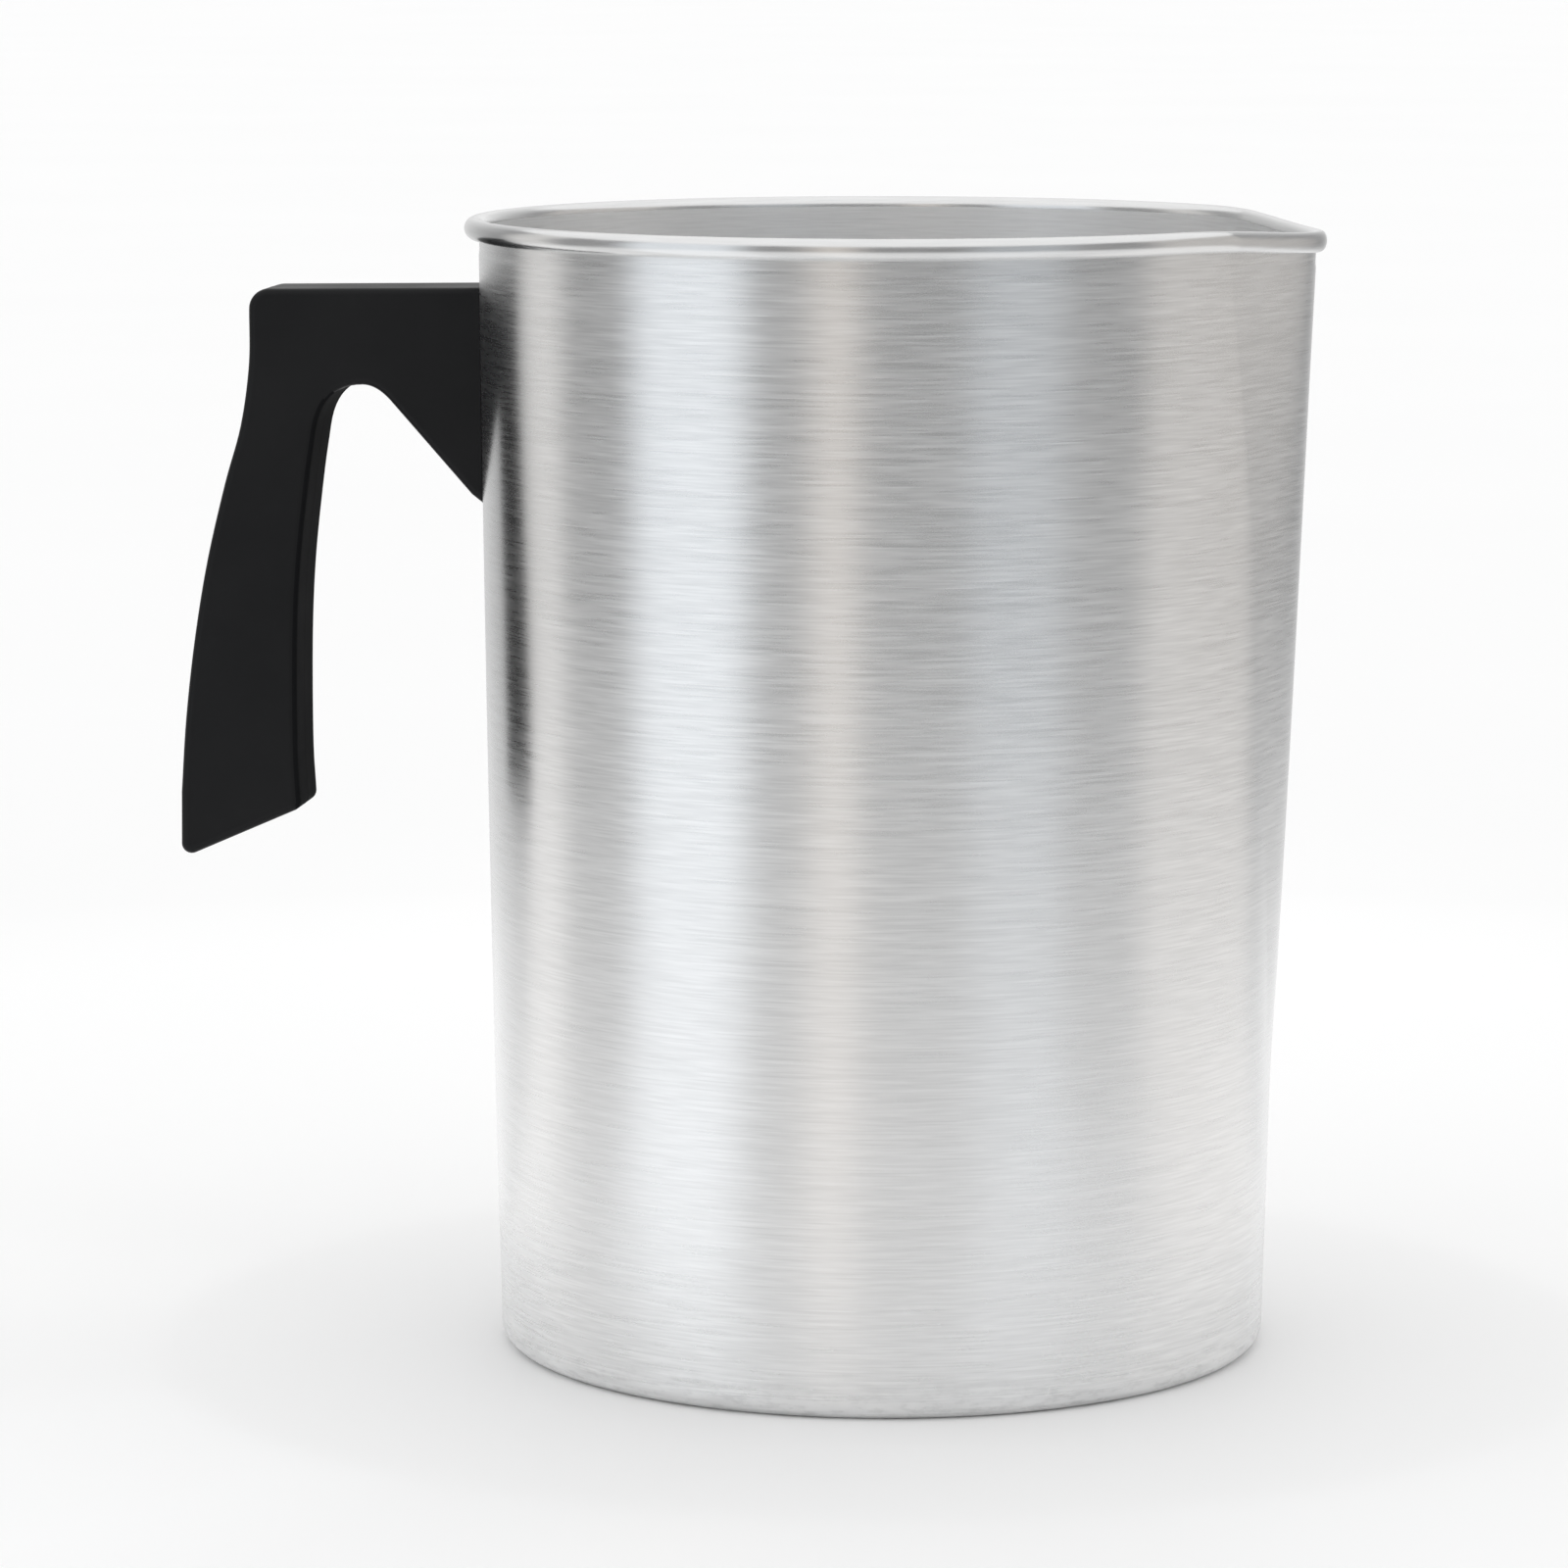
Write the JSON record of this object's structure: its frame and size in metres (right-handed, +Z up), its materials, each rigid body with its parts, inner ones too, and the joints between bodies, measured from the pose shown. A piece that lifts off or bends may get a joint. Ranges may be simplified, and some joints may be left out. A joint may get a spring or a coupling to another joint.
{
  "type": "candle melting pot",
  "caption": "Tall pouring pot for melting wax, with a rolled rim, a pressed pouring spout and a side grip handle screwed on from inside.",
  "frame": {"origin": "centre of the pot's base, on the surface it stands on", "axes": "+Z up the pot's axis, +X towards the spout's nose, the handle towards -X"},
  "size_m": [0.203, 0.1472, 0.2],
  "materials": {
    "pot_aluminium": "brushed round the pot, satin",
    "handle_plastic": "moulded, fine satin texture",
    "fastener_steel": "bright, lightly worn",
    "seal_silicone": "matte, moulded",
    "insert_brass": "turned"
  },
  "bodies": {
    "root": {"pot_body": "pot_aluminium", "handle": "handle_plastic", "screw_upper": "fastener_steel", "screw_lower": "fastener_steel", "washer_upper": "fastener_steel", "washer_lower": "fastener_steel", "seal_upper": "seal_silicone", "seal_lower": "seal_silicone", "insert_upper": "insert_brass", "insert_lower": "insert_brass"}
  },
  "joints": []
}
